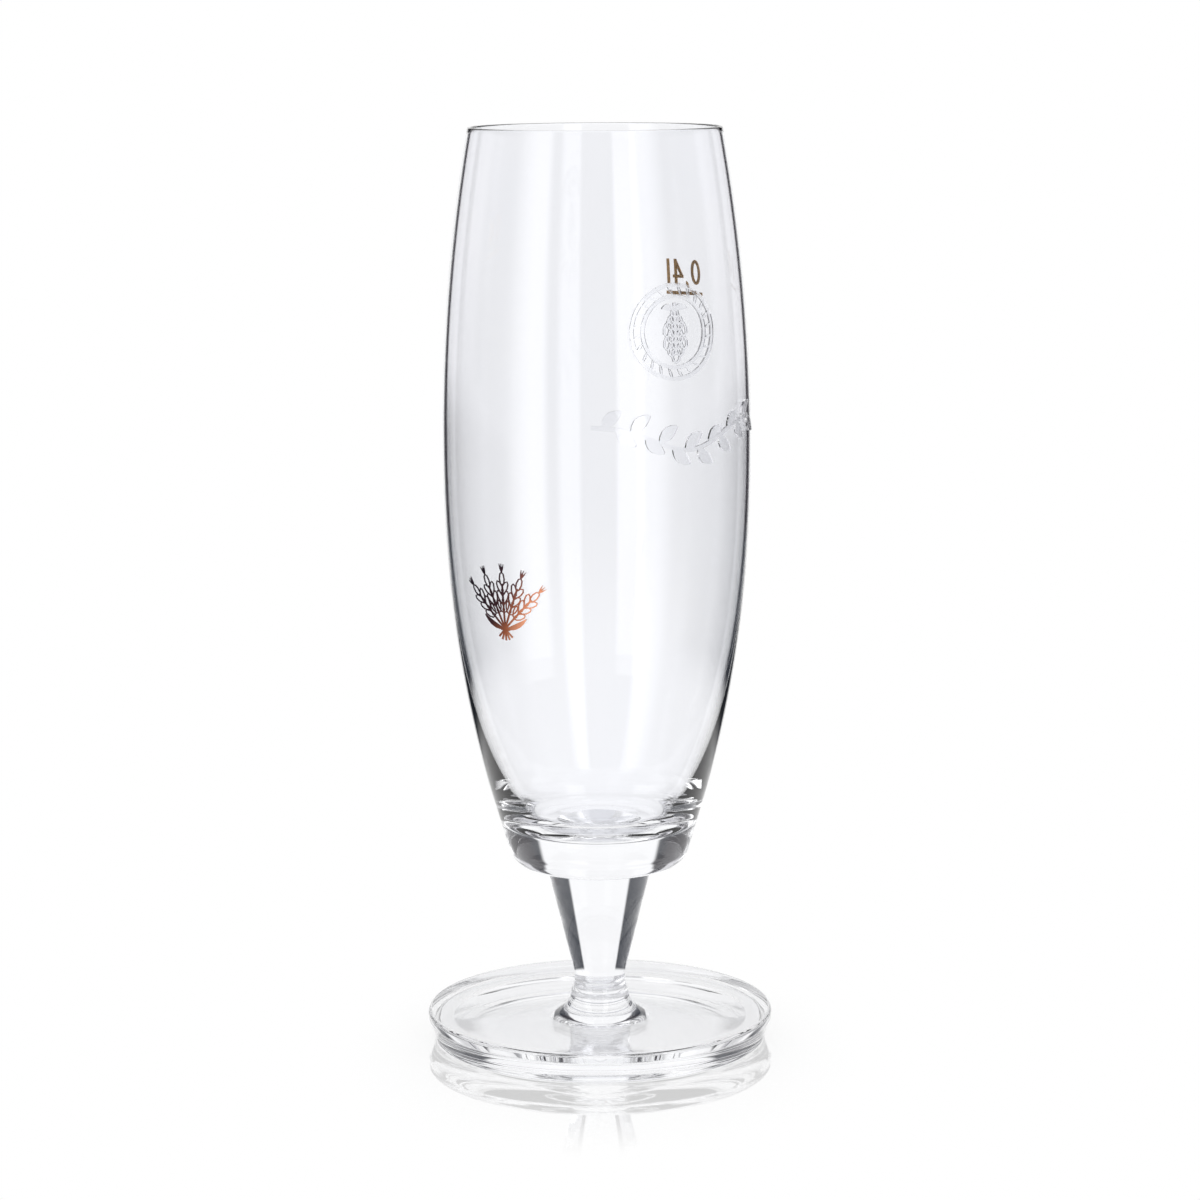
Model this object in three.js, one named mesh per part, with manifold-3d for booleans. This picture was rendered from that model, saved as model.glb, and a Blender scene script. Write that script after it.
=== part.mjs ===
// Stemmed beer goblet for 0.4 litre: a tall blown bowl on a solid knop, a tapered stem and a
// pressed, dished foot, fused together in clear glass, with marks fired on to the bowl.
// Millimetres, +Z up, the foot stands on z = 0 and the axis of the glass is the Z axis.
import * as THREE from 'three';
import { mergeVertices } from 'three/addons/utils/BufferGeometryUtils.js';
import Module from 'manifold-3d';

// Foot
const FOOT_RADIUS = 42.4;
const FOOT_LIP_HEIGHT = 7.5;
const FOOT_LIP_DEPTH = 2.0;
const FOOT_LIP_WIDTH = 2.8;
const FOOT_LIP_ROUND = 0.9;
const FOOT_LIP_STEP = 0.4;
const FOOT_WALL_TAPER = 1.6;
const FOOT_EDGE_ROUND = 0.9;
const FOOT_RING_WIDTH = 3.2;
const FOOT_RECESS = 1.0;
const DISH_HEIGHT = 5.4;
const HUB_HEIGHT = 12.0;
const HUB_FLARE = 6.4;

// Stem
const STEM_LENGTH = 31.4;
const STEM_BASE_RADIUS = 7.0;
const STEM_WAIST_RADIUS = 6.2;
const STEM_WAIST_RISE = 2.2;
const STEM_TAPER_RISE = 7.8;
const STEM_TAPER_RADIUS = 7.1;
const STEM_TOP_RADIUS = 13.0;

// Knop
const KNOP_HEIGHT = 7.9;
const KNOP_ROUND = 6.0;
const KNOP_TAPER = 2.3;

// Bowl
const BOWL_HEIGHT = 171.7;
const BOWL_RADIUS = 37.1;
const BOWL_WIDEST_RISE = 96.7;
const RIM_RADIUS = 30.3;
const HEEL_RISE = 12.7;
const HEEL_RADIUS = 26.8;
const SEAM_RADIUS = 23.1;
const RIM_WALL = 0.95;
const BASE_WALL = 4.6;
const FLOOR_THICKNESS = 1.6;
const CAVITY_TURN_RISE = 9.0;
const CAVITY_FLAT_RADIUS = 6.0;

// Shape of the bowl's flank and how its wall thickens downwards, without a unit
const FLANK_POWER = 2.2;
const WALL_POWER = 9;

// Fired-on marks: their place below the rim, their turn from the front and their sizes
const MARK_GAP = 0.15;
const PRINT_THICKNESS = 0.2;
const RELIEF_THICKNESS = 0.5;
const FILL_LINE_DROP = 41.8;
const FILL_LINE_LENGTH = 11.4;
const FILL_LINE_WIDTH = 0.8;
const FIGURE_HEIGHT = 6.2;
const FIGURE_WIDTH = 3.2;
const FIGURE_STROKE = 0.8;
const FIGURE_SPACE = 0.9;
const FIGURE_RISE = 1.8;
const COMMA_LENGTH = 1.9;
const COMMA_SLANT = 250;
const FOUR_CROSSBAR = 1.9;
const FOUR_UPRIGHT = 2.3;
const CAPACITY_TURN = 141;
const SPRIG_DROP = 112;
const SPRIG_TURN = -38;
const SPRIG_EARS = 5;
const EAR_FAN = 23;
const EAR_STALK = 4.0;
const EAR_TAIL = 2.8;
const GRAIN_LENGTH = 3.2;
const GRAIN_WIDTH = 1.4;
const GRAIN_PITCH = 2.3;
const GRAIN_PAIRS = 3;
const GRAIN_SPLAY = 27;
const GRAIN_LINE = 0.3;
const GRAIN_STEPS = 8;
const AWN_SPLAY = 16;
const AWN_LENGTH = 2.4;
const AWN_WIDTH = 0.35;
const STALK_WIDTH = 0.45;
const TIE_LENGTH = 2.6;
const TIE_WIDTH = 0.8;
const BLADE_LENGTH = 7.0;
const BLADE_WIDTH = 1.3;
const BLADE_RISE = 4;
const BLADE_BEND = 42;
const MEDALLION_DROP = 46;
const MEDALLION_TURN = 30;
const MEDALLION_RADIUS = 10.8;
const MEDALLION_BAND = 0.9;
const MEDALLION_INNER = 8.2;
const ROPE_STRANDS = 24;
const ROPE_TILT = 35;
const ROPE_WIDTH = 0.6;
const CONE_SCALE_LENGTH = 3.4;
const CONE_SCALE_WIDTH = 2.0;
const CONE_SCALE_LINE = 0.45;
const CONE_ROW_PITCH = 1.5;
const CONE_SCALE_PITCH = 1.45;
const CONE_FAN = 16;
const CONE_STALK = 0.7;
const CONE_STALK_RISE = 1.4;
const CONE_LEAF_WIDTH = 1.6;
const CONE_LEAF_SPLAY = 62;
const CONE_LEAF_BEND = 50;
const CONE_ROWS = [1, 2, 3, 2, 3, 2, 1];
const GARLAND_DROP = 72;
const GARLAND_TURN = 35;
const GARLAND_LENGTH = 48;
const GARLAND_SWING = 1.5;
const GARLAND_STEM = 1.0;
const GARLAND_LEAVES = 14;
const LEAF_LENGTH = 6.0;
const LEAF_WIDTH = 3.0;
const LEAF_SPLAY = 52;
const LEAF_BEND = 24;

// Facets
const ROUND_SEGMENTS = 48;
const CURVE_STEPS = 7;
const CAVITY_STEPS = 12;
const CORNER_STEPS = 5;
const RING_STEPS = 40;

// Levels of the fused joints and of the rim
const stemBase = HUB_HEIGHT;
const knopBase = stemBase + STEM_LENGTH;
const bowlBase = knopBase + KNOP_HEIGHT;
const rimTop = bowlBase + BOWL_HEIGHT;
const widestLevel = bowlBase + BOWL_WIDEST_RISE;
const heelLevel = bowlBase + HEEL_RISE;
const cavityTurn = bowlBase + CAVITY_TURN_RISE;
const cavityFloor = bowlBase + FLOOR_THICKNESS;
const lipRadius = RIM_WALL / 2;
const lipLevel = rimTop - lipRadius;

const wasm = await Module();
wasm.setup();

// Values from a to b in equal steps, both ends included
function span(a, b, steps) {
  return Array.from({ length: steps + 1 }, (_, i) => a + ((b - a) * i) / steps);
}

// Points on an arc round (radius, height), from one angle to another in degrees
function arc(radius, height, round, fromDegrees, toDegrees, steps) {
  return span(fromDegrees, toDegrees, steps).map((degrees) => {
    const angle = THREE.MathUtils.degToRad(degrees);
    return [radius + round * Math.cos(angle), height + round * Math.sin(angle)];
  });
}

// Outer radius of the bowl at a height: a rounded upper half, a long flank and a straight heel
function outerRadius(z) {
  if (z >= widestLevel) {
    const share = (z - widestLevel) / (rimTop - widestLevel);
    return BOWL_RADIUS - (BOWL_RADIUS - RIM_RADIUS) * share ** 2;
  }
  if (z >= heelLevel) {
    const share = (widestLevel - z) / (widestLevel - heelLevel);
    return BOWL_RADIUS - (BOWL_RADIUS - HEEL_RADIUS) * share ** FLANK_POWER;
  }
  return SEAM_RADIUS + ((HEEL_RADIUS - SEAM_RADIUS) * (z - bowlBase)) / HEEL_RISE;
}

// Radius of the drinking space: a thin wall at the rim thickens slowly into a heavy base
function cavityRadius(z) {
  const share = (rimTop - z) / (rimTop - cavityTurn);
  return outerRadius(z) - RIM_WALL - (BASE_WALL - RIM_WALL) * share ** WALL_POWER;
}

// The wall of the drinking space bends into the flat middle of its floor
function cavityBottom() {
  const bend = new THREE.QuadraticBezierCurve(
    new THREE.Vector2(cavityRadius(cavityTurn), cavityTurn),
    new THREE.Vector2(cavityRadius(cavityFloor), cavityFloor),
    new THREE.Vector2(CAVITY_FLAT_RADIUS, cavityFloor),
  );
  return bend.getPoints(CORNER_STEPS).map((point) => point.toArray());
}

// A solid of revolution about Z from [radius, height] points that start and end on the axis
function turned(points) {
  const profile = points.map(([radius, height]) => new THREE.Vector2(radius, height));
  return new THREE.LatheGeometry(profile, ROUND_SEGMENTS).rotateX(Math.PI / 2);
}

function footProfile() {
  const lipFoot = FOOT_LIP_HEIGHT - FOOT_LIP_DEPTH;
  const edge = FOOT_RADIUS - FOOT_WALL_TAPER;
  const ringOuter = edge - FOOT_EDGE_ROUND;
  const ringInner = ringOuter - FOOT_RING_WIDTH;
  const dishEdge = FOOT_RADIUS - FOOT_LIP_WIDTH;
  const dishStart = STEM_BASE_RADIUS + HUB_FLARE;
  const dishRise = FOOT_LIP_HEIGHT - FOOT_LIP_STEP - DISH_HEIGHT;
  const dish = span(1, 0, CORNER_STEPS).map((share) => [
    dishStart + (dishEdge - dishStart) * share,
    DISH_HEIGHT + dishRise * share ** 2,
  ]);
  const flare = span(0, Math.PI / 2, CORNER_STEPS).map((angle) => [
    dishStart - HUB_FLARE * Math.sin(angle),
    HUB_HEIGHT - (HUB_HEIGHT - DISH_HEIGHT) * Math.cos(angle),
  ]);
  const hollow = span(0, 1, CORNER_STEPS).map((share) => [
    ringInner * share,
    FOOT_RECESS * (1 - share ** 2),
  ]);
  return [
    ...hollow,
    ...arc(ringOuter, FOOT_EDGE_ROUND, FOOT_EDGE_ROUND, -90, 0, 3),
    [FOOT_RADIUS - FOOT_LIP_STEP, lipFoot - FOOT_LIP_STEP],
    [FOOT_RADIUS, lipFoot],
    ...arc(FOOT_RADIUS - FOOT_LIP_ROUND, FOOT_LIP_HEIGHT - FOOT_LIP_ROUND, FOOT_LIP_ROUND, 0, 90, 3),
    ...dish,
    ...flare.slice(1),
    [0, HUB_HEIGHT],
  ];
}

function stemProfile() {
  const waist = stemBase + STEM_WAIST_RISE;
  const taper = stemBase + STEM_TAPER_RISE;
  const flare = span(0, Math.PI / 2, 3).map((angle) => [
    STEM_BASE_RADIUS - (STEM_BASE_RADIUS - STEM_WAIST_RADIUS) * Math.sin(angle),
    waist - STEM_WAIST_RISE * Math.cos(angle),
  ]);
  const sweep = span(0, 1, 3).map((share) => [
    STEM_WAIST_RADIUS + (STEM_TAPER_RADIUS - STEM_WAIST_RADIUS) * share ** 2,
    waist + (taper - waist) * share,
  ]);
  return [[0, stemBase], ...flare, ...sweep.slice(1), [STEM_TOP_RADIUS, knopBase], [0, knopBase]];
}

function knopProfile() {
  const cornerRadius = SEAM_RADIUS - KNOP_TAPER;
  const slope = Math.atan2(KNOP_TAPER, KNOP_HEIGHT);
  const reach = KNOP_ROUND * Math.tan(Math.PI / 4 - slope / 2);
  const under = cornerRadius - reach;
  const slopeDegrees = THREE.MathUtils.radToDeg(slope);
  const corner = arc(under, knopBase + KNOP_ROUND, KNOP_ROUND, -90, -slopeDegrees, CORNER_STEPS);
  return [[0, knopBase], ...corner, [SEAM_RADIUS, bowlBase], [0, bowlBase]];
}

function bowlProfile() {
  const flank = span(heelLevel, widestLevel, CURVE_STEPS + 2).map((z) => [outerRadius(z), z]);
  const shoulder = span(widestLevel, lipLevel, CURVE_STEPS).map((z) => [outerRadius(z), z]);
  const lip = arc(outerRadius(lipLevel) - lipRadius, lipLevel, lipRadius, 0, 180, 4);
  const inside = span(lipLevel, widestLevel, CURVE_STEPS).map((z) => [cavityRadius(z), z]);
  const cavity = span(widestLevel, cavityTurn, CAVITY_STEPS).map((z) => [cavityRadius(z), z]);
  return [
    [0, bowlBase],
    [SEAM_RADIUS, bowlBase],
    ...flank,
    ...shoulder.slice(1),
    ...lip.slice(1, -1),
    ...inside,
    ...cavity.slice(1),
    ...cavityBottom().slice(1),
    [0, cavityFloor],
  ];
}

// Bends a flat mark (x along the bowl, y up, z out) on to the bowl's outside
function wrapped(geometry, turnDegrees, level) {
  const position = geometry.getAttribute('position');
  const turn = THREE.MathUtils.degToRad(turnDegrees);
  const flatRadius = outerRadius(level);
  for (let i = 0; i < position.count; i += 1) {
    const z = level + position.getY(i);
    const angle = turn + position.getX(i) / flatRadius;
    const radius = outerRadius(z) + position.getZ(i);
    position.setXYZ(i, radius * Math.sin(angle), -radius * Math.cos(angle), z);
  }
  geometry.deleteAttribute('normal');
  geometry.deleteAttribute('uv');
  return mergeVertices(geometry);
}

// A flat band along a line of [x, y] points, with a half width for each point; closed makes a ring
function band(line, halfWidths, thickness, lift, closed = false) {
  const count = line.length;
  const vertices = [];
  line.forEach(([x, y], i) => {
    const before = line[closed ? (i + count - 1) % count : Math.max(i - 1, 0)];
    const after = line[closed ? (i + 1) % count : Math.min(i + 1, count - 1)];
    const along = new THREE.Vector2(after[0] - before[0], after[1] - before[1]).normalize();
    const across = new THREE.Vector2(-along.y, along.x).multiplyScalar(halfWidths[i]);
    for (const [side, height] of [[1, lift], [-1, lift], [-1, lift + thickness], [1, lift + thickness]]) {
      vertices.push(x + side * across.x, y + side * across.y, height);
    }
  });
  const index = [];
  const spans = closed ? count : count - 1;
  for (let i = 0; i < spans; i += 1) {
    for (let corner = 0; corner < 4; corner += 1) {
      const a = 4 * i + corner;
      const b = 4 * i + ((corner + 1) % 4);
      const c = 4 * ((i + 1) % count) + ((corner + 1) % 4);
      const d = 4 * ((i + 1) % count) + corner;
      index.push(a, d, c, a, c, b);
    }
  }
  if (!closed) {
    const last = 4 * (count - 1);
    index.push(0, 1, 2, 0, 2, 3, last, last + 2, last + 1, last, last + 3, last + 2);
  }
  const geometry = new THREE.BufferGeometry();
  geometry.setAttribute('position', new THREE.Float32BufferAttribute(vertices, 3));
  geometry.setIndex(index);
  return geometry;
}

// A pointed blade from (x, y) in a direction in degrees, widest at its middle, with an even bend
function blade(x, y, degrees, length, width, bendDegrees = 0, steps = 5) {
  const tip = width * 0.08;
  const line = [[x, y]];
  for (let i = 1; i <= steps; i += 1) {
    const angle = THREE.MathUtils.degToRad(degrees + (bendDegrees * (i - 0.5)) / steps);
    const [fromX, fromY] = line[i - 1];
    line.push([fromX + (Math.cos(angle) * length) / steps, fromY + (Math.sin(angle) * length) / steps]);
  }
  const widths = span(0, Math.PI, steps).map((angle) => tip + (width / 2 - tip) * Math.sin(angle));
  return { line, widths };
}

// A stroke of one width through a list of points
function stroke(line, width) {
  return { line, widths: line.map(() => width / 2) };
}

// The drawn outline of a pointed oval from (x, y) in a direction in degrees
function oval(x, y, degrees, length, width, lineWidth) {
  const turn = THREE.MathUtils.degToRad(degrees);
  const line = span(0, 2 * Math.PI, GRAIN_STEPS).slice(0, -1).map((angle) => {
    const along = (length / 2) * (1 - Math.cos(angle));
    const across = (width / 2) * Math.sin(angle);
    return [
      x + along * Math.cos(turn) - across * Math.sin(turn),
      y + along * Math.sin(turn) + across * Math.cos(turn),
    ];
  });
  return { ...stroke(line, lineWidth), closed: true };
}

function toSolid(geometry) {
  const vertProperties = new Float32Array(geometry.getAttribute('position').array);
  const triVerts = new Uint32Array(geometry.getIndex().array);
  return new wasm.Manifold(new wasm.Mesh({ numProp: 3, vertProperties, triVerts }));
}

// Joins the bands of one mark; each lies at its own small lift, so that no two faces coincide
function joined(bands, thickness, turnDegrees, level) {
  const LIFT_STEP = 0.012;
  const LIFT_LEVELS = 5;
  let solid = null;
  bands.forEach(({ line, widths, closed }, i) => {
    const lift = MARK_GAP + LIFT_STEP * (i % LIFT_LEVELS);
    const piece = toSolid(wrapped(band(line, widths, thickness, lift, closed), turnDegrees, level));
    solid = solid ? solid.add(piece) : piece;
  });
  const mesh = solid.getMesh();
  const geometry = new THREE.BufferGeometry();
  geometry.setAttribute('position', new THREE.BufferAttribute(mesh.vertProperties, 3));
  geometry.setIndex(new THREE.BufferAttribute(mesh.triVerts, 1));
  return geometry;
}

// Capacity mark: a fill line with 0,4 l above it, read from outside the bowl
function capacityMarks() {
  const level = rimTop - FILL_LINE_DROP;
  const baseline = FILL_LINE_WIDTH / 2 + FIGURE_RISE;
  const top = baseline + FIGURE_HEIGHT;
  const half = FIGURE_STROKE / 2;
  const pitch = FIGURE_WIDTH + FIGURE_SPACE;
  const rowWidth = 2 * pitch + 2 * (FIGURE_STROKE + FIGURE_SPACE) - FIGURE_SPACE;
  const zeroX = -rowWidth / 2 + FIGURE_WIDTH / 2;
  const commaX = zeroX + FIGURE_WIDTH / 2 + FIGURE_SPACE + half;
  const fourLeft = commaX + half + FIGURE_SPACE;
  const litreX = fourLeft + pitch + half;
  const lineSteps = 10;
  const zero = span(0, 2 * Math.PI, 20).slice(0, -1).map((angle) => [
    zeroX + (FIGURE_WIDTH / 2 - half) * Math.cos(angle),
    baseline + FIGURE_HEIGHT / 2 + (FIGURE_HEIGHT / 2 - half) * Math.sin(angle),
  ]);
  const comma = blade(commaX + half, baseline + FIGURE_STROKE, COMMA_SLANT, COMMA_LENGTH, FIGURE_STROKE);
  const crossbar = baseline + FOUR_CROSSBAR;
  const upright = fourLeft + FOUR_UPRIGHT;
  const four = [
    stroke([[upright, baseline], [upright, baseline + FIGURE_HEIGHT / 2], [upright, top]], FIGURE_STROKE),
    stroke([[fourLeft, crossbar], [upright, crossbar], [fourLeft + FIGURE_WIDTH, crossbar]], FIGURE_STROKE),
    stroke([[upright, top - half], [fourLeft + half, crossbar]], FIGURE_STROKE),
  ];
  const bar = (line, width) => joined([stroke(line, width)], PRINT_THICKNESS, CAPACITY_TURN, level);
  const ring = band(zero, zero.map(() => half), PRINT_THICKNESS, MARK_GAP, true);
  return {
    fill_line: bar(
      span(-FILL_LINE_LENGTH / 2, FILL_LINE_LENGTH / 2, lineSteps).map((x) => [x, 0]),
      FILL_LINE_WIDTH,
    ),
    figure_zero: wrapped(ring, CAPACITY_TURN, level),
    decimal_comma: joined([comma], PRINT_THICKNESS, CAPACITY_TURN, level),
    figure_four: joined(four, PRINT_THICKNESS, CAPACITY_TURN, level),
    litre_letter: bar(span(baseline, top, 3).map((y) => [litreX, y]), FIGURE_STROKE),
  };
}

// One ear of barley from a tie at (x, y): a stalk, paired grains, and a last grain with awns
function barleyEar(x, y, degrees) {
  const at = (distance) => {
    const angle = THREE.MathUtils.degToRad(degrees);
    return [x + distance * Math.cos(angle), y + distance * Math.sin(angle)];
  };
  const head = EAR_STALK + GRAIN_PITCH * GRAIN_PAIRS;
  const tip = at(head - STALK_WIDTH + GRAIN_LENGTH - GRAIN_LINE);
  const parts = [stroke(span(-EAR_TAIL, head, 6).map(at), STALK_WIDTH)];
  for (let pair = 0; pair < GRAIN_PAIRS; pair += 1) {
    const root = at(EAR_STALK + GRAIN_PITCH * pair);
    for (const side of [-1, 1]) {
      parts.push(oval(...root, degrees + side * GRAIN_SPLAY, GRAIN_LENGTH, GRAIN_WIDTH, GRAIN_LINE));
    }
  }
  parts.push(oval(...at(head - STALK_WIDTH), degrees, GRAIN_LENGTH, GRAIN_WIDTH, GRAIN_LINE));
  for (const side of [-1, 0, 1]) {
    parts.push(blade(...tip, degrees + side * AWN_SPLAY, AWN_LENGTH, AWN_WIDTH, 0, 2));
  }
  return parts;
}

// A printed sprig: ears of barley fanned out from a tie, with a leaf on either side
function sprig() {
  const tie = -EAR_STALK;
  const bands = [
    stroke(span(-TIE_LENGTH / 2, TIE_LENGTH / 2, 2).map((x) => [x, tie]), TIE_WIDTH),
    blade(0, tie, 180 - BLADE_RISE, BLADE_LENGTH, BLADE_WIDTH, -BLADE_BEND),
    blade(0, tie, BLADE_RISE, BLADE_LENGTH, BLADE_WIDTH, BLADE_BEND),
  ];
  for (let ear = 0; ear < SPRIG_EARS; ear += 1) {
    bands.push(...barleyEar(0, tie, 90 + EAR_FAN * (ear - (SPRIG_EARS - 1) / 2)));
  }
  return joined(bands, PRINT_THICKNESS, SPRIG_TURN, rimTop - SPRIG_DROP);
}

// A clear relief roundel: two rings with slanting strands between them, like a rope
function medallionRing() {
  const ring = (radius) => {
    const line = span(0, 2 * Math.PI, RING_STEPS).slice(0, -1).map((angle) => [
      radius * Math.cos(angle),
      radius * Math.sin(angle),
    ]);
    return { ...stroke(line, MEDALLION_BAND), closed: true };
  };
  const bands = [ring(MEDALLION_RADIUS), ring(MEDALLION_INNER)];
  const strand = (MEDALLION_RADIUS - MEDALLION_INNER) / Math.cos(THREE.MathUtils.degToRad(ROPE_TILT));
  for (const degrees of span(0, 360, ROPE_STRANDS).slice(0, -1)) {
    const angle = THREE.MathUtils.degToRad(degrees);
    const root = [MEDALLION_INNER * Math.cos(angle), MEDALLION_INNER * Math.sin(angle)];
    bands.push(blade(...root, degrees + ROPE_TILT, strand, ROPE_WIDTH, 0, 2));
  }
  return joined(bands, RELIEF_THICKNESS, MEDALLION_TURN, rimTop - MEDALLION_DROP);
}

// A hop cone inside the roundel: rows of drawn scales under two leaves
function hopCone() {
  const top = (CONE_ROWS.length * CONE_ROW_PITCH) / 2;
  const stalkTop = top + CONE_STALK_RISE;
  const bands = [stroke(span(-top, stalkTop, 6).map((y) => [0, y]), CONE_STALK)];
  CONE_ROWS.forEach((scales, row) => {
    const y = top - row * CONE_ROW_PITCH;
    for (let i = 0; i < scales; i += 1) {
      const offset = i - (scales - 1) / 2;
      const x = offset * CONE_SCALE_PITCH;
      bands.push(oval(x, y, 270 + offset * CONE_FAN, CONE_SCALE_LENGTH, CONE_SCALE_WIDTH, CONE_SCALE_LINE));
    }
  });
  for (const side of [-1, 1]) {
    const lean = 90 - side * CONE_LEAF_SPLAY;
    bands.push(blade(0, top, lean, CONE_SCALE_LENGTH, CONE_LEAF_WIDTH, -side * CONE_LEAF_BEND));
  }
  return joined(bands, RELIEF_THICKNESS, MEDALLION_TURN, rimTop - MEDALLION_DROP);
}

// A clear relief garland: a waved stem with leaves to either side in turn
function garland() {
  const wave = (share) => [
    GARLAND_LENGTH * (share - 0.5),
    GARLAND_SWING * Math.sin(share * 3 * Math.PI) + 3 * GARLAND_SWING * (2 * share - 1) ** 2,
  ];
  const bands = [stroke(span(0, 1, 26).map(wave), GARLAND_STEM)];
  for (let leaf = 0; leaf < GARLAND_LEAVES; leaf += 1) {
    const side = leaf % 2 ? -1 : 1;
    const [x, y] = wave((leaf + 0.7) / GARLAND_LEAVES);
    bands.push(blade(x, y, side * LEAF_SPLAY, LEAF_LENGTH, LEAF_WIDTH, -side * LEAF_BEND));
  }
  return joined(bands, RELIEF_THICKNESS, GARLAND_TURN, rimTop - GARLAND_DROP);
}

const clearGlass = new THREE.MeshStandardMaterial({
  color: 0xeef3f6, roughness: 0.02, metalness: 0, transparent: true, opacity: 0.35,
});
const clearEnamel = new THREE.MeshStandardMaterial({
  color: 0xf6f8fa, roughness: 0.08, metalness: 0, transparent: true, opacity: 0.5,
});
const goldPrint = new THREE.MeshStandardMaterial({ color: 0xbe8c46, roughness: 0.35, metalness: 0.9 });
const copperLustre = new THREE.MeshStandardMaterial({ color: 0x8a4a30, roughness: 0.25, metalness: 1 });

const goblet = new THREE.Group();

function addPiece(name, geometry, material) {
  const mesh = new THREE.Mesh(geometry, material);
  mesh.name = name;
  goblet.add(mesh);
}

addPiece('foot', turned(footProfile()), clearGlass);
addPiece('stem', turned(stemProfile()), clearGlass);
addPiece('knop', turned(knopProfile()), clearGlass);
addPiece('bowl', turned(bowlProfile()), clearGlass);
for (const [name, geometry] of Object.entries(capacityMarks())) {
  addPiece(name, geometry, goldPrint);
}
addPiece('barley_sprig', sprig(), copperLustre);
addPiece('medallion_ring', medallionRing(), clearEnamel);
addPiece('hop_cone', hopCone(), clearEnamel);
addPiece('leaf_garland', garland(), clearEnamel);

export default goblet;
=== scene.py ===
"""Looks of a stemmed beer goblet: clear glass turned as one, with gold, copper and raised marks fired on."""
import math

import bmesh
import bpy
from mathutils import Matrix, Vector


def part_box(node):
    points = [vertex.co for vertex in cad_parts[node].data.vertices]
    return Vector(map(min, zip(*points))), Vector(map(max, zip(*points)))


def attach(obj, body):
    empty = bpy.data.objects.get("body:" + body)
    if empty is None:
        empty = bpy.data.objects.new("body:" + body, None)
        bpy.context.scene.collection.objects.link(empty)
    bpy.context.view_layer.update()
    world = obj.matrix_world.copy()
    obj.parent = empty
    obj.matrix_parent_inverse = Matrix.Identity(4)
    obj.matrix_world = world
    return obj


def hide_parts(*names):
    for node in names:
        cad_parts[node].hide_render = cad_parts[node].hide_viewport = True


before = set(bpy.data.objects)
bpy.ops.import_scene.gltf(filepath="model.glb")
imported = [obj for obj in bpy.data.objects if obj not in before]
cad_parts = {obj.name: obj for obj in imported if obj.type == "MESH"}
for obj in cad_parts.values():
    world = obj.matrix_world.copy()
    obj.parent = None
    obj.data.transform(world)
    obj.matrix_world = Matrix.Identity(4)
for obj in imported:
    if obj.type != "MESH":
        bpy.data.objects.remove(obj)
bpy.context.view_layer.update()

MM = 0.001

# Glass sizes: the main ones from the frame, the finer ones as named values
_, foot_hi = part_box("foot")
_, stem_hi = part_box("stem")
_, knop_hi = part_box("knop")
_, bowl_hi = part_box("bowl")

FOOT_RADIUS = foot_hi.x
HUB_TOP = foot_hi.z
LIP_TOP = 7.5 * MM
LIP_DEPTH = 2.0 * MM
LIP_WIDTH = 2.8 * MM
LIP_ROUND = 0.9 * MM
LIP_STEP = 0.4 * MM
WALL_TAPER = 1.6 * MM
EDGE_ROUND = 0.9 * MM
RING_WIDTH = 3.2 * MM
RECESS = 1.0 * MM
DISH_HEIGHT = 5.4 * MM
HUB_FLARE = 6.4 * MM

STEM_TOP = stem_hi.z
STEM_BASE_RADIUS = 7.0 * MM
STEM_WAIST_RADIUS = 6.2 * MM
STEM_WAIST_RISE = 2.2 * MM
STEM_TAPER_RADIUS = 7.1 * MM
STEM_TAPER_RISE = 7.8 * MM
STEM_TOP_RADIUS = stem_hi.x

KNOP_TOP = knop_hi.z
KNOP_RADIUS = knop_hi.x
KNOP_ROUND = 6.0 * MM
KNOP_TAPER = 2.3 * MM

RIM_TOP = bowl_hi.z
BOWL_RADIUS = bowl_hi.x
RIM_RADIUS = 30.3 * MM
WIDEST = KNOP_TOP + 96.7 * MM
HEEL = KNOP_TOP + 12.7 * MM
HEEL_RADIUS = 26.8 * MM
WALL = 0.95 * MM
FLANK_POWER = 2.2
BASE_WALL = 4.6 * MM
WALL_POWER = 9
CAVITY_TURN = KNOP_TOP + 9.0 * MM
CAVITY_FLOOR = KNOP_TOP + 1.6 * MM
CAVITY_FLAT = 6.0 * MM

# Materials: a cloud is (scale, detail), tints are (position, colour)
GLASS_CLOUD = (30, 1)
GLASS_TINTS = [(0.3, (0.973, 0.979, 1.0)), (0.7, (0.98, 0.984, 1.0))]
GLASS_WAVES = 0.004 * MM
GLASS_INDEX = 1.52
PRINT_GRAIN = 0.02 * MM
GOLD_CLOUD = (900, 3)
GOLD_TINTS = [(0.3, (0.40, 0.20, 0.05)), (0.7, (0.62, 0.36, 0.11))]
GOLD_METAL = 0.7
GOLD_ROUGHNESS = 0.38
LUSTRE_CLOUD = (500, 2)
LUSTRE_TINTS = [
    (0.15, (0.035, 0.02, 0.035)), (0.55, (0.09, 0.035, 0.04)),
    (0.8, (0.42, 0.13, 0.06)), (1.0, (0.75, 0.34, 0.2))]
LUSTRE_SLIDE = (0.63, -0.49, -0.6)
LUSTRE_REACH = 9.0 * MM
LUSTRE_WANDER = 0.12
LUSTRE_METAL = 0.75
LUSTRE_ROUGHNESS = 0.32
RELIEF_CLOUD = (260, 2)
RELIEF_TINTS = [(0.3, (0.955, 0.958, 0.972)), (0.7, (0.985, 0.987, 0.995))]
RELIEF_ROUGHNESS = 0.06
RELIEF_INDEX = 1.5

# Steps of the curves, and how near two points or levels are taken as one
ROUND_STEPS = 192
LONG_STEPS = 48
CAVITY_STEPS = 120
BEND_STEPS = 32
SHORT_STEPS = 16
KNOP_STEPS = 14
CORNER_STEPS = 12
RIM_STEPS = 10
SMALL_STEPS = 8
EDGE_STEPS = 6
SHARP_ANGLE = math.radians(32)
SAME_POINT = 0.002 * MM
SAME_LEVEL = 0.01 * MM


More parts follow.
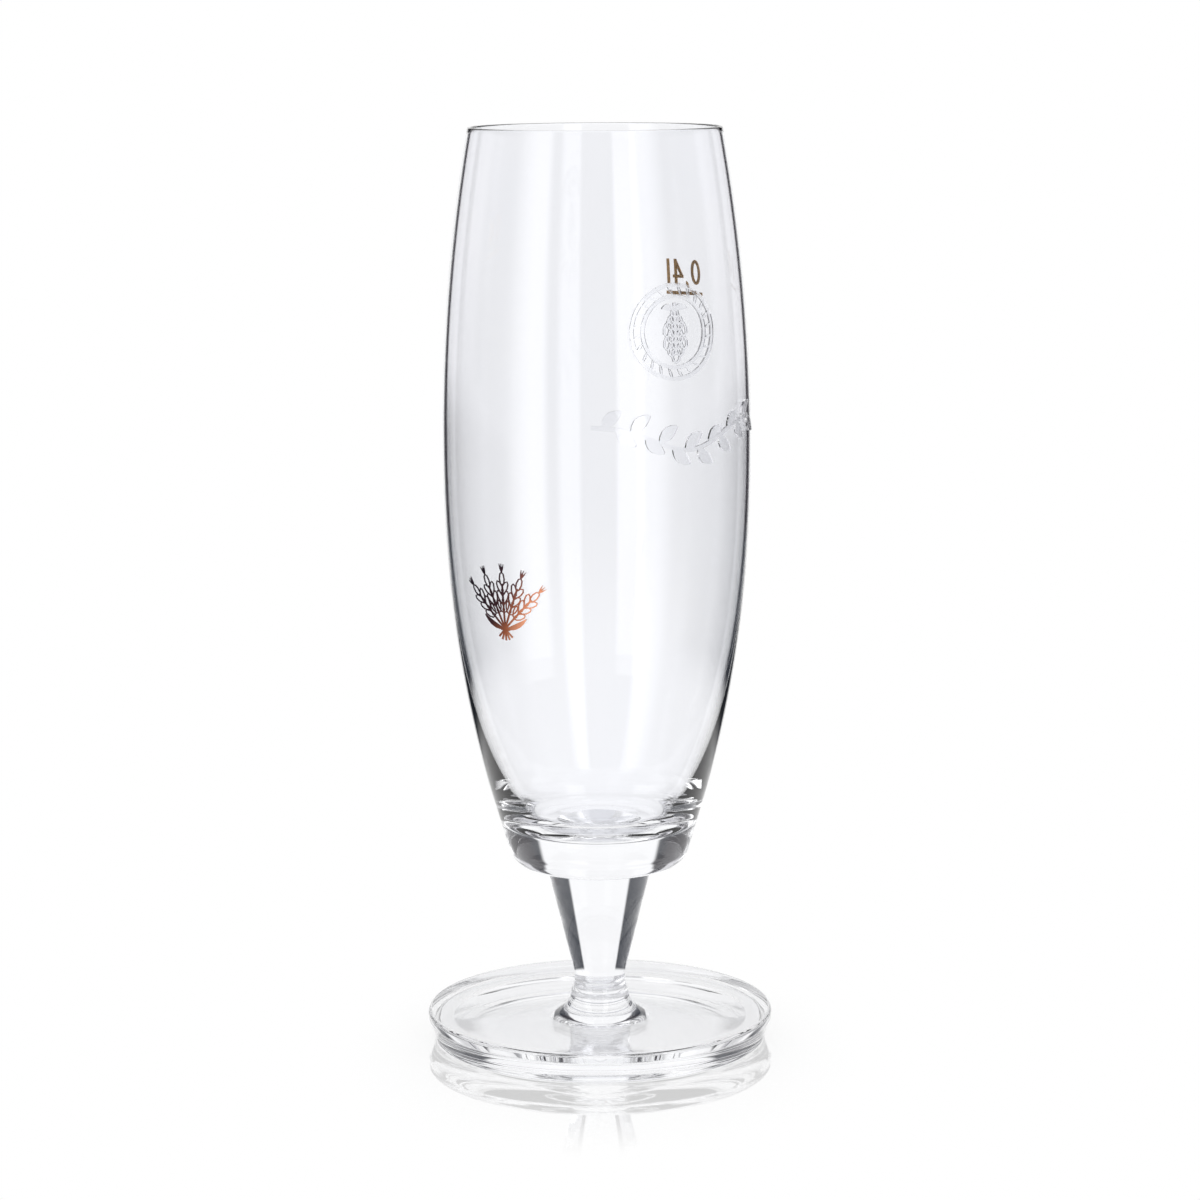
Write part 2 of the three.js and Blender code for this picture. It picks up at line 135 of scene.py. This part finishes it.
def span(a, b, steps):
    """Even steps from a to b, both included."""
    return [a + (b - a) * i / steps for i in range(steps + 1)]


def arc(radius, height, size, start, end, steps):
    """Points of a round corner about (radius, height), in degrees from the outward direction."""
    turns = [math.radians(d) for d in span(start, end, steps)]
    return [(radius + size * math.cos(t), height + size * math.sin(t)) for t in turns]


def bowl_radius(z):
    """Outer radius of the bowl at a height."""
    if z >= WIDEST:
        share = (z - WIDEST) / (RIM_TOP - WIDEST)
        return BOWL_RADIUS - (BOWL_RADIUS - RIM_RADIUS) * share**2
    if z >= HEEL:
        share = (WIDEST - z) / (WIDEST - HEEL)
        return BOWL_RADIUS - (BOWL_RADIUS - HEEL_RADIUS) * share**FLANK_POWER
    return KNOP_RADIUS + (HEEL_RADIUS - KNOP_RADIUS) * (z - KNOP_TOP) / (HEEL - KNOP_TOP)


def cavity_radius(z):
    """Radius of the drinking space above its turn: the wall thickens down to the heavy base."""
    share = (RIM_TOP - z) / (RIM_TOP - CAVITY_TURN)
    return bowl_radius(z) - WALL - (BASE_WALL - WALL) * share**WALL_POWER


def cavity_bottom():
    """Quadratic bend from the thick wall into the flat middle of the floor."""
    rim = cavity_radius(CAVITY_TURN)
    bend = cavity_radius(CAVITY_FLOOR)
    return [
        ((1 - t) ** 2 * rim + 2 * t * (1 - t) * bend + t**2 * CAVITY_FLAT,
         (1 - t) ** 2 * CAVITY_TURN + (1 - (1 - t) ** 2) * CAVITY_FLOOR)
        for t in span(0, 1, BEND_STEPS)
    ]


def bowl_outline():
    """Half section of the bowl: outer wall, fire-polished rim, cavity and its floor."""
    lip = WALL / 2
    lip_level = RIM_TOP - lip
    lip_centre = bowl_radius(lip_level) - lip
    heel = [(bowl_radius(z), z) for z in span(KNOP_TOP, HEEL, SMALL_STEPS)]
    flank = [(bowl_radius(z), z) for z in span(HEEL, WIDEST, LONG_STEPS)[1:]]
    crown = [(bowl_radius(z), z) for z in span(WIDEST, lip_level, BEND_STEPS)[1:-1]]
    rim = arc(lip_centre, lip_level, lip, 0, 180, RIM_STEPS)
    cavity = [(cavity_radius(z), z) for z in span(lip_level, CAVITY_TURN, CAVITY_STEPS)[1:-1]]
    floor = cavity_bottom() + [(0, CAVITY_FLOOR)]
    return [(0, KNOP_TOP)] + heel + flank + crown + rim + cavity + floor


def knop_outline():
    """Half section of the solid knop: a cup with a round lower corner."""
    low_radius = KNOP_RADIUS - KNOP_TAPER
    slope = math.degrees(math.atan2(KNOP_TAPER, KNOP_TOP - STEM_TOP))
    centre = low_radius - KNOP_ROUND * math.tan(math.pi / 4 - math.radians(slope) / 2)
    corner = arc(centre, STEM_TOP + KNOP_ROUND, KNOP_ROUND, -90, -slope, KNOP_STEPS)
    return [(0, STEM_TOP), (STEM_TOP_RADIUS, STEM_TOP)] + corner + [(KNOP_RADIUS, KNOP_TOP), (0, KNOP_TOP)]


def stem_outline():
    """Half section of the solid stem: a narrow waist above the hub, then a taper that widens upwards."""
    waist = HUB_TOP + STEM_WAIST_RISE
    taper = HUB_TOP + STEM_TAPER_RISE
    drop = STEM_BASE_RADIUS - STEM_WAIST_RADIUS
    flare = [
        (STEM_BASE_RADIUS - drop * math.sin(math.pi / 2 * s), HUB_TOP + STEM_WAIST_RISE * s)
        for s in span(0, 1, EDGE_STEPS)
    ]
    swell = [
        (STEM_WAIST_RADIUS + (STEM_TAPER_RADIUS - STEM_WAIST_RADIUS) * s**2, waist + (taper - waist) * s)
        for s in span(0, 1, SMALL_STEPS)[1:]
    ]
    shaft = [
        (STEM_TAPER_RADIUS + (STEM_TOP_RADIUS - STEM_TAPER_RADIUS) * s, taper + (STEM_TOP - taper) * s)
        for s in span(0, 1, CORNER_STEPS)[1:]
    ]
    return [(0, HUB_TOP)] + flare + swell + shaft + [(0, STEM_TOP)]


def foot_outline():
    """Half section of the foot: domed underside, standing ring, side wall, lip, dished top and hub."""
    ring_out = FOOT_RADIUS - WALL_TAPER - EDGE_ROUND
    ring_in = ring_out - RING_WIDTH
    lip_low = LIP_TOP - LIP_DEPTH
    rest = [(ring_in * s, RECESS * (1 - s * s)) for s in span(0, 1, SHORT_STEPS)] + [(ring_out, 0)]
    edge = arc(ring_out, EDGE_ROUND, EDGE_ROUND, -90, 0, EDGE_STEPS)[1:]
    wall = [(FOOT_RADIUS - LIP_STEP, lip_low - LIP_STEP), (FOOT_RADIUS, lip_low)]
    lip = arc(FOOT_RADIUS - LIP_ROUND, LIP_TOP - LIP_ROUND, LIP_ROUND, 0, 90, EDGE_STEPS)
    dish_out = FOOT_RADIUS - LIP_WIDTH
    dish_level = LIP_TOP - LIP_STEP
    hub_out = STEM_BASE_RADIUS + HUB_FLARE
    dish = [
        (dish_out + (hub_out - dish_out) * s, dish_level + (DISH_HEIGHT - dish_level) * (2 * s - s * s))
        for s in span(0, 1, SHORT_STEPS)
    ]
    flare = [
        (hub_out - HUB_FLARE * math.sin(math.radians(t)),
         DISH_HEIGHT + (HUB_TOP - DISH_HEIGHT) * (1 - math.cos(math.radians(t))))
        for t in span(0, 90, CORNER_STEPS)[1:]
    ]
    return rest + edge + wall + lip + dish + flare + [(0, HUB_TOP)]


def turned_piece(name, outline, finish, fused, joints):
    """A closed piece of glass turned round the axis; its faces on a joint level wear the fused finish."""
    bm = bmesh.new()
    corners = [bm.verts.new((r, 0, z)) for r, z in outline]
    edges = [bm.edges.new(pair) for pair in zip(corners, corners[1:])]
    bmesh.ops.spin(bm, geom=corners + edges, cent=(0, 0, 0), axis=(0, 0, 1),
                   angle=math.tau, steps=ROUND_STEPS, use_merge=True)
    bmesh.ops.remove_doubles(bm, verts=bm.verts, dist=SAME_POINT)
    bmesh.ops.recalc_face_normals(bm, faces=bm.faces)
    for face in bm.faces:
        face.smooth = True
        for level, radius in joints:
            flat = all(abs(v.co.z - level) < SAME_LEVEL for v in face.verts)
            inside = all(v.co.xy.length < radius + SAME_LEVEL for v in face.verts)
            if flat and inside:
                face.material_index = 1
    for edge in bm.edges:
        edge.smooth = edge.calc_face_angle(0) < SHARP_ANGLE
    mesh = bpy.data.meshes.new(name)
    bm.to_mesh(mesh)
    bm.free()
    mesh.materials.append(finish)
    mesh.materials.append(fused)
    piece = bpy.data.objects.new(name, mesh)
    bpy.context.scene.collection.objects.link(piece)
    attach(piece, "root")
    return piece


def new_material(name):
    """A node material with a lone Principled shader: (material, nodes, links, shader)."""
    material = bpy.data.materials.new(name)
    material.use_nodes = True
    nodes = material.node_tree.nodes
    return material, nodes, material.node_tree.links, nodes["Principled BSDF"]


def noise(nodes, links, scale, detail):
    """Cloudy values from 0 to 1 over the object's own coordinates."""
    place = nodes.new("ShaderNodeTexCoord")
    cloud = nodes.new("ShaderNodeTexNoise")
    cloud.inputs["Scale"].default_value = scale
    cloud.inputs["Detail"].default_value = detail
    links.new(place.outputs["Object"], cloud.inputs["Vector"])
    return cloud.outputs["Fac"]


def tint(nodes, links, value, stops):
    """Colours along a value: stops are (position, colour)."""
    ramp = nodes.new("ShaderNodeValToRGB")
    ramp.color_ramp.elements.remove(ramp.color_ramp.elements[1])
    for i, (position, colour) in enumerate(stops):
        stop = ramp.color_ramp.elements[0] if i == 0 else ramp.color_ramp.elements.new(position)
        stop.position = position
        stop.color = (*colour, 1)
    links.new(value, ramp.inputs["Fac"])
    return ramp.outputs["Color"]


def ripple(nodes, links, shader, value, depth):
    """Shallow waves in the surface."""
    bump = nodes.new("ShaderNodeBump")
    bump.inputs["Distance"].default_value = depth
    links.new(value, bump.inputs["Height"])
    links.new(bump.outputs["Normal"], shader.inputs["Normal"])


def clear_glass():
    """Colourless soda glass with a trace of blue and the faint waves of blown glass."""
    material, nodes, links, shader = new_material("clear_glass")
    cloud = noise(nodes, links, *GLASS_CLOUD)
    colour = tint(nodes, links, cloud, GLASS_TINTS)
    links.new(colour, shader.inputs["Base Color"])
    ripple(nodes, links, shader, cloud, GLASS_WAVES)
    shader.inputs["Roughness"].default_value = 0.0
    shader.inputs["IOR"].default_value = GLASS_INDEX
    shader.inputs["Transmission Weight"].default_value = 1.0
    return material


def fused_glass():
    """Where two parts of glass are fused nothing shows, so the joint faces are open."""
    material, _, _, shader = new_material("fused_glass")
    shader.inputs["Alpha"].default_value = 0.0
    return material


def gold_print():
    """Fired gold, a little worn and uneven."""
    material, nodes, links, shader = new_material("gold_print")
    cloud = noise(nodes, links, *GOLD_CLOUD)
    colour = tint(nodes, links, cloud, GOLD_TINTS)
    links.new(colour, shader.inputs["Base Color"])
    ripple(nodes, links, shader, cloud, PRINT_GRAIN)
    shader.inputs["Metallic"].default_value = GOLD_METAL
    shader.inputs["Roughness"].default_value = GOLD_ROUGHNESS
    return material


def copper_lustre():
    """Copper lustre that turns from dark plum brown at the upper left to light copper at the lower right."""
    material, nodes, links, shader = new_material("copper_lustre")
    sprig_lo, sprig_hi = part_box("barley_sprig")
    middle = (sprig_lo + sprig_hi) / 2
    place = nodes.new("ShaderNodeTexCoord")
    offset = nodes.new("ShaderNodeVectorMath")
    offset.operation = "SUBTRACT"
    offset.inputs[1].default_value = middle
    links.new(place.outputs["Object"], offset.inputs[0])
    slide = nodes.new("ShaderNodeVectorMath")
    slide.operation = "DOT_PRODUCT"
    slide.inputs[1].default_value = LUSTRE_SLIDE
    links.new(offset.outputs["Vector"], slide.inputs[0])
    share = nodes.new("ShaderNodeMapRange")
    share.inputs["From Min"].default_value = -LUSTRE_REACH
    share.inputs["From Max"].default_value = LUSTRE_REACH
    links.new(slide.outputs["Value"], share.inputs["Value"])
    cloud = noise(nodes, links, *LUSTRE_CLOUD)
    wander = nodes.new("ShaderNodeMath")
    wander.operation = "MULTIPLY_ADD"
    wander.inputs[1].default_value = LUSTRE_WANDER
    links.new(cloud, wander.inputs[0])
    links.new(share.outputs[0], wander.inputs[2])
    colour = tint(nodes, links, wander.outputs[0], LUSTRE_TINTS)
    links.new(colour, shader.inputs["Base Color"])
    shader.inputs["Metallic"].default_value = LUSTRE_METAL
    shader.inputs["Roughness"].default_value = LUSTRE_ROUGHNESS
    return material


def clear_relief():
    """Raised clear enamel, softer in surface than the glass under it."""
    material, nodes, links, shader = new_material("clear_relief")
    cloud = noise(nodes, links, *RELIEF_CLOUD)
    colour = tint(nodes, links, cloud, RELIEF_TINTS)
    links.new(colour, shader.inputs["Base Color"])
    ripple(nodes, links, shader, cloud, PRINT_GRAIN)
    shader.inputs["Roughness"].default_value = RELIEF_ROUGHNESS
    shader.inputs["IOR"].default_value = RELIEF_INDEX
    shader.inputs["Transmission Weight"].default_value = 1.0
    return material


# Camera
CAMERA_PLACE = Vector((0.57, -827.35, 249.51)) * MM
CAMERA_PITCH = math.radians(9.636)
CAMERA_ROLL = math.radians(-0.32)
CAMERA_LENS = 103.73
CAMERA_SENSOR = 36


def add_camera():
    """The photographer's camera, a little above the glass and looking slightly down."""
    data = bpy.data.cameras.new("camera")
    data.lens = CAMERA_LENS
    data.sensor_width = CAMERA_SENSOR
    camera = bpy.data.objects.new("camera", data)
    bpy.context.scene.collection.objects.link(camera)
    tilt = Matrix.Rotation(math.pi / 2 - CAMERA_PITCH, 4, "X") @ Matrix.Rotation(CAMERA_ROLL, 4, "Z")
    camera.matrix_world = Matrix.Translation(CAMERA_PLACE) @ tilt
    bpy.context.scene.camera = camera
    return camera


# Studio tones, from 0 for black to 1 for white
BACKDROP_TONE = [1.0, 1.0, 1.0]
UPPER_CARD = [0.04, 0.037, 0.045]
LOWER_CARD = [0.045, 0.05, 0.062]
SIDE_TONE = [0.75, 0.74, 0.77]
TABLE_TONE = [1.0, 1.0, 1.0]
ROOM_TONE = [0.35, 0.35, 0.36]
SOFTBOX_TONE = [1.9, 1.9, 1.9]
CEILING_TONE = [0.85, 0.85, 0.87]
ROOM_LEVEL = 0.35

# Studio directions in degrees: turns from straight behind the glass, rises above the rig's middle
BACKDROP_HALF = 25
UPPER_HALF = 27
BACKDROP_BLUR = 1.5
FLAG_END = 38
FLAG_BLUR = 2
CARD_WRAP = 35
CARD_END = (76, 90)
CARD_CHANGE = (-9, -7)
UPPER_ZONE = (0, 9)
SKIRT_TOP = (-29, -24)
TABLE_TOP = (-29, -3)
TABLE_FRONT = (95, 125)
LEFT_SOFTBOX = ((-148, -141), (-134, -108))
RIGHT_SOFTBOX = ((144, 152), (164, 168))
CEILING_START = (32, 52)

# Studio sizes in metres, the shares of the floor, and the limits of a ray
RIG_MIDDLE = Vector((0, 0, 0.12))
DOME_REACH = 0.25
DOME_LOW = -30
DOME_GRID = (360, 240)
FLOOR_RADIUS = 8
FLOOR_SIDES = 96
FADE_START = 0.045
FADE_END = 0.085
FADE_NARROW = 1.3
FADE_FORWARD = 0.012
FLOOR_VEIL = 0.75
FLOOR_MIRROR = 0.35
FLOOR_SOFTNESS = 0.03
FLOOR_THROUGH_GLASS = 0.6
# Painted shade: how strongly the floor glows near the foot when seen through the glass
FLOOR_PAINTED_SHADE_UNDER_GLASS = 0.82
LIGHT_STEPS = 64
INNER_REFLECTIONS = 8
FIRST_SCATTER = 0.5


def ease(low, high, value):
    """Soft step from 0 at low to 1 at high."""
    share = min(1, max(0, (value - low) / (high - low)))
    return share * share * (3 - 2 * share)


def blend(tone, other, share):
    """A tone part of the way to another one."""
    return [a + (b - a) * share for a, b in zip(tone, other)]


def studio_tone(turn, rise):
    """Light that comes from a direction: its turn from straight behind the glass and its rise, in degrees."""
    side = abs(turn)
    card = blend(LOWER_CARD, UPPER_CARD, ease(*CARD_CHANGE, rise))
    upper = ease(*UPPER_ZONE, rise)
    tone = blend(card, SIDE_TONE, upper * ease(FLAG_END - FLAG_BLUR, FLAG_END + FLAG_BLUR, side))
    tone = blend(tone, ROOM_TONE, ease(*CARD_END, side - CARD_WRAP * (1 - upper)))
    skirt = 1 - ease(*SKIRT_TOP, rise)
    table = (1 - ease(*TABLE_TOP, rise)) * ease(*TABLE_FRONT, side)
    tone = blend(tone, TABLE_TONE, max(skirt, table))
    edge = BACKDROP_HALF + (UPPER_HALF - BACKDROP_HALF) * upper
    tone = blend(tone, BACKDROP_TONE, 1 - ease(edge - BACKDROP_BLUR, edge + BACKDROP_BLUR, side))
    start, end = LEFT_SOFTBOX if turn < 0 else RIGHT_SOFTBOX
    tone = blend(tone, SOFTBOX_TONE, ease(*start, turn) - ease(*end, turn))
    return blend(tone, CEILING_TONE, ease(*CEILING_START, rise))


def add_dome(camera):
    """Studio dome round the glass, carried by the camera and met only by light that leaves the glass."""
    bm = bmesh.new()
    bmesh.ops.create_grid(bm, x_segments=DOME_GRID[0], y_segments=DOME_GRID[1], size=1)
    tones = bm.verts.layers.float_color.new("tone")
    for vert in bm.verts:
        turn = 180 * vert.co.x
        rise = DOME_LOW + (90 - DOME_LOW) * (vert.co.y + 1) / 2
        level = math.cos(math.radians(rise))
        side = math.radians(turn)
        vert.co = RIG_MIDDLE + DOME_REACH * Vector(
            (level * math.sin(side), level * math.cos(side), math.sin(math.radians(rise))))
        vert[tones] = studio_tone(turn, rise) + [1]
    mesh = bpy.data.meshes.new("dome")
    bm.to_mesh(mesh)
    bm.free()
    material = bpy.data.materials.new("studio_dome")
    material.use_nodes = True
    nodes = material.node_tree.nodes
    links = material.node_tree.links
    nodes.clear()
    out = nodes.new("ShaderNodeOutputMaterial")
    light = nodes.new("ShaderNodeEmission")
    tone = nodes.new("ShaderNodeAttribute")
    tone.attribute_name = "tone"
    links.new(tone.outputs["Color"], light.inputs["Color"])
    links.new(light.outputs[0], out.inputs["Surface"])
    mesh.materials.append(material)
    dome = bpy.data.objects.new("dome", mesh)
    bpy.context.scene.collection.objects.link(dome)
    dome.parent = camera
    dome.matrix_parent_inverse = camera.matrix_world.inverted()
    dome.visible_camera = False
    dome.visible_diffuse = False
    dome.visible_shadow = False


def ranged(nodes, links, value, near, far, soft=True):
    """A value that goes from near to far while the distance passes the fading belt of the floor."""
    belt = nodes.new("ShaderNodeMapRange")
    belt.interpolation_type = "SMOOTHSTEP" if soft else "LINEAR"
    belt.inputs["From Min"].default_value = FADE_START
    belt.inputs["From Max"].default_value = FADE_END
    belt.inputs["To Min"].default_value = near
    belt.inputs["To Max"].default_value = far
    links.new(value, belt.inputs["Value"])
    return belt.outputs[0]


def mixed(nodes, links, share, first, second):
    """Two shaders mixed by a share."""
    mix = nodes.new("ShaderNodeMixShader")
    links.new(share, mix.inputs["Fac"])
    links.new(first.outputs[0], mix.inputs[1])
    links.new(second.outputs[0], mix.inputs[2])
    return mix


def pale_floor():
    """White table, slightly polished and shadowed round the foot, plain white further out; seen through the
    glass, its glow near the foot is dimmed as painted shade.
    """
    material, nodes, links, shader = new_material("pale_floor")
    nodes.remove(shader)
    path = nodes.new("ShaderNodeLightPath")
    place = nodes.new("ShaderNodeTexCoord")
    oval = nodes.new("ShaderNodeVectorMath")
    oval.operation = "MULTIPLY_ADD"
    oval.inputs[1].default_value = (FADE_NARROW, 1, 1)
    oval.inputs[2].default_value = (0, FADE_FORWARD, 0)
    links.new(place.outputs["Object"], oval.inputs[0])
    reach = nodes.new("ShaderNodeVectorMath")
    reach.operation = "LENGTH"
    links.new(oval.outputs["Vector"], reach.inputs[0])
    distance = reach.outputs["Value"]
    # Painted shade: seen through the glass, the floor near the foot glows dimmer, standing in for the shadow
    # under the foot
    shade = nodes.new("ShaderNodeMapRange")
    shade.inputs["To Min"].default_value = 1.0
    links.new(path.outputs["Is Transmission Ray"], shade.inputs["Value"])
    links.new(ranged(nodes, links, distance, FLOOR_PAINTED_SHADE_UNDER_GLASS, 1.0, soft=False), shade.inputs["To Max"])
    white = nodes.new("ShaderNodeEmission")
    white.inputs["Color"].default_value = (1, 1, 1, 1)
    links.new(shade.outputs[0], white.inputs["Strength"])
    through = nodes.new("ShaderNodeMath")
    through.operation = "MULTIPLY"
    through.inputs[1].default_value = FLOOR_THROUGH_GLASS
    links.new(path.outputs["Is Transmission Ray"], through.inputs[0])
    plain = nodes.new("ShaderNodeMath")
    plain.operation = "MAXIMUM"
    links.new(ranged(nodes, links, distance, FLOOR_VEIL, 1.0), plain.inputs[0])
    links.new(through.outputs[0], plain.inputs[1])
    matt = nodes.new("ShaderNodeBsdfDiffuse")
    matt.inputs["Color"].default_value = (1, 1, 1, 1)
    table = mixed(nodes, links, plain.outputs[0], matt, white)
    polish = nodes.new("ShaderNodeBsdfGlossy")
    polish.inputs["Color"].default_value = (1, 1, 1, 1)
    polish.inputs["Roughness"].default_value = FLOOR_SOFTNESS
    top = mixed(nodes, links, ranged(nodes, links, distance, FLOOR_MIRROR, 0.0), table, polish)
    links.new(top.outputs[0], nodes["Material Output"].inputs["Surface"])
    return material


def add_floor():
    """The table that the glass stands on."""
    bm = bmesh.new()
    bmesh.ops.create_circle(bm, cap_ends=True, segments=FLOOR_SIDES, radius=FLOOR_RADIUS)
    mesh = bpy.data.meshes.new("floor")
    bm.to_mesh(mesh)
    bm.free()
    mesh.materials.append(pale_floor())
    floor = bpy.data.objects.new("floor", mesh)
    bpy.context.scene.collection.objects.link(floor)


def light_world():
    """White all round for the eye and for matt surfaces, and a dark room in the glass."""
    world = bpy.data.worlds.new("studio")
    bpy.context.scene.world = world
    world.use_nodes = True
    nodes = world.node_tree.nodes
    links = world.node_tree.links
    backdrop = nodes["Background"]
    backdrop.inputs["Color"].default_value = (1, 1, 1, 1)
    path = nodes.new("ShaderNodeLightPath")
    clear = nodes.new("ShaderNodeMath")
    clear.operation = "MAXIMUM"
    links.new(path.outputs["Is Glossy Ray"], clear.inputs[0])
    links.new(path.outputs["Is Transmission Ray"], clear.inputs[1])
    unscattered = nodes.new("ShaderNodeMath")
    unscattered.operation = "LESS_THAN"
    unscattered.inputs[1].default_value = FIRST_SCATTER
    links.new(path.outputs["Diffuse Depth"], unscattered.inputs[0])
    direct = nodes.new("ShaderNodeMath")
    direct.operation = "MULTIPLY"
    links.new(clear.outputs[0], direct.inputs[0])
    links.new(unscattered.outputs[0], direct.inputs[1])
    dim = nodes.new("ShaderNodeMapRange")
    dim.inputs["To Min"].default_value = 1.0
    dim.inputs["To Max"].default_value = ROOM_LEVEL
    links.new(direct.outputs[0], dim.inputs["Value"])
    links.new(dim.outputs[0], backdrop.inputs["Strength"])


scene = bpy.context.scene
scene.view_settings.view_transform = "Standard"
scene.cycles.max_bounces = LIGHT_STEPS
scene.cycles.transmission_bounces = LIGHT_STEPS
scene.cycles.glossy_bounces = INNER_REFLECTIONS
scene.cycles.transparent_max_bounces = LIGHT_STEPS

camera = add_camera()
light_world()
add_floor()
add_dome(camera)

glass = clear_glass()
fused = fused_glass()
bowl = turned_piece("goblet_bowl", bowl_outline(), glass, fused, [(KNOP_TOP, KNOP_RADIUS)])
knop = turned_piece("goblet_knop", knop_outline(), glass, fused,
                    [(KNOP_TOP, KNOP_RADIUS), (STEM_TOP, STEM_TOP_RADIUS)])
stem = turned_piece("goblet_stem", stem_outline(), glass, fused,
                    [(STEM_TOP, STEM_TOP_RADIUS), (HUB_TOP, STEM_BASE_RADIUS)])
foot = turned_piece("goblet_foot", foot_outline(), glass, fused, [(HUB_TOP, STEM_BASE_RADIUS)])
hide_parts("bowl")
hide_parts("knop")
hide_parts("stem")
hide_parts("foot")

gold = gold_print()
copper = copper_lustre()
relief = clear_relief()
finishes = {
    "fill_line": gold, "figure_zero": gold, "decimal_comma": gold, "figure_four": gold,
    "litre_letter": gold, "barley_sprig": copper, "medallion_ring": relief, "hop_cone": relief,
    "leaf_garland": relief,
}
for node, finish in finishes.items():
    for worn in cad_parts[node].material_slots:
        worn.material = finish
